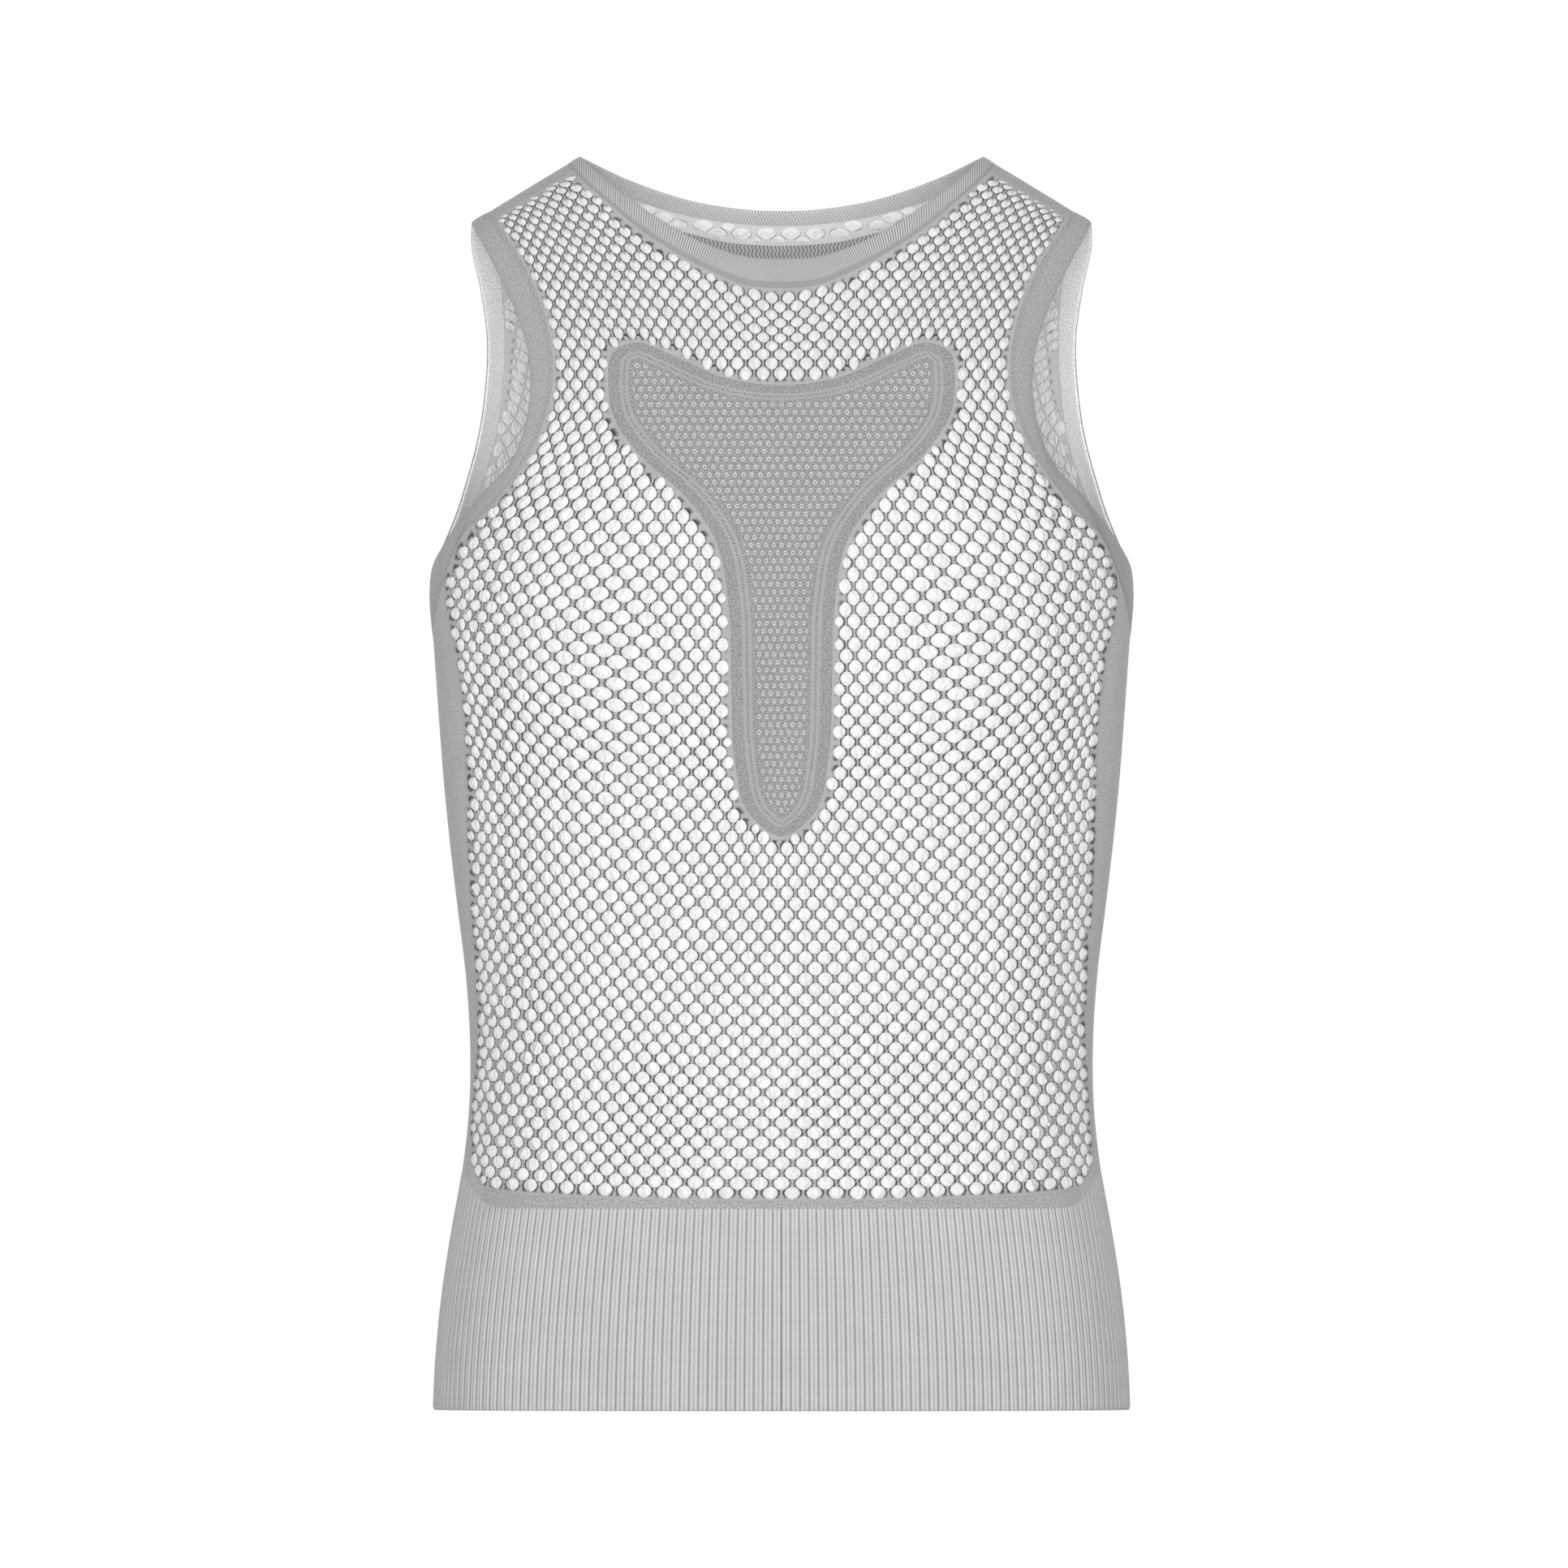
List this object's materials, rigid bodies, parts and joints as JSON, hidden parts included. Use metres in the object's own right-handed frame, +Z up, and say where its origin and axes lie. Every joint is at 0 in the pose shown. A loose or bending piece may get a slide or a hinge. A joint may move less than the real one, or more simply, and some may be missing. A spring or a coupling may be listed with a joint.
{
  "type": "cycling base layer",
  "caption": "Sleeveless cycling base layer in open honeycomb knit, with dense chest and spine zones, knitted neck and arm bands and a ribbed hem, filled out as worn.",
  "frame": {"origin": "where the wearer's shoulders carry it: on the centre plane, at the height of the two neck points, in the plane of the shoulder seams", "axes": "+Z up along the garment's length, the front faces -Y, +X to the wearer's left"},
  "size_m": [0.3708, 0.2155, 0.66],
  "materials": {
    "open_net": "honeycomb knit, near-white cells between grey threads",
    "dense_knit": "dense knit with small staggered perforations, matte",
    "plain_knit": "plain jersey knit, matte",
    "ribbed_band": "fine ribbed double knit, matte",
    "ribbed_hem": "ribbed knit, light crests over darker gutters, matte"
  },
  "bodies": {
    "root": {"front_net": "open_net", "back_net": "open_net", "chest_zone": "dense_knit", "spine_zone": "dense_knit", "side_panel_left": "plain_knit", "side_panel_right": "plain_knit", "shoulder_strip_left_front": "plain_knit", "shoulder_strip_left_back": "plain_knit", "shoulder_strip_right_front": "plain_knit", "shoulder_strip_right_back": "plain_knit", "hem_border_front": "plain_knit", "hem_border_back": "plain_knit", "neck_band_front": "ribbed_band", "neck_band_back": "ribbed_band", "arm_band_left_front": "ribbed_band", "arm_band_left_back": "ribbed_band", "arm_band_right_front": "ribbed_band", "arm_band_right_back": "ribbed_band", "hem_rib": "ribbed_hem"}
  },
  "joints": []
}
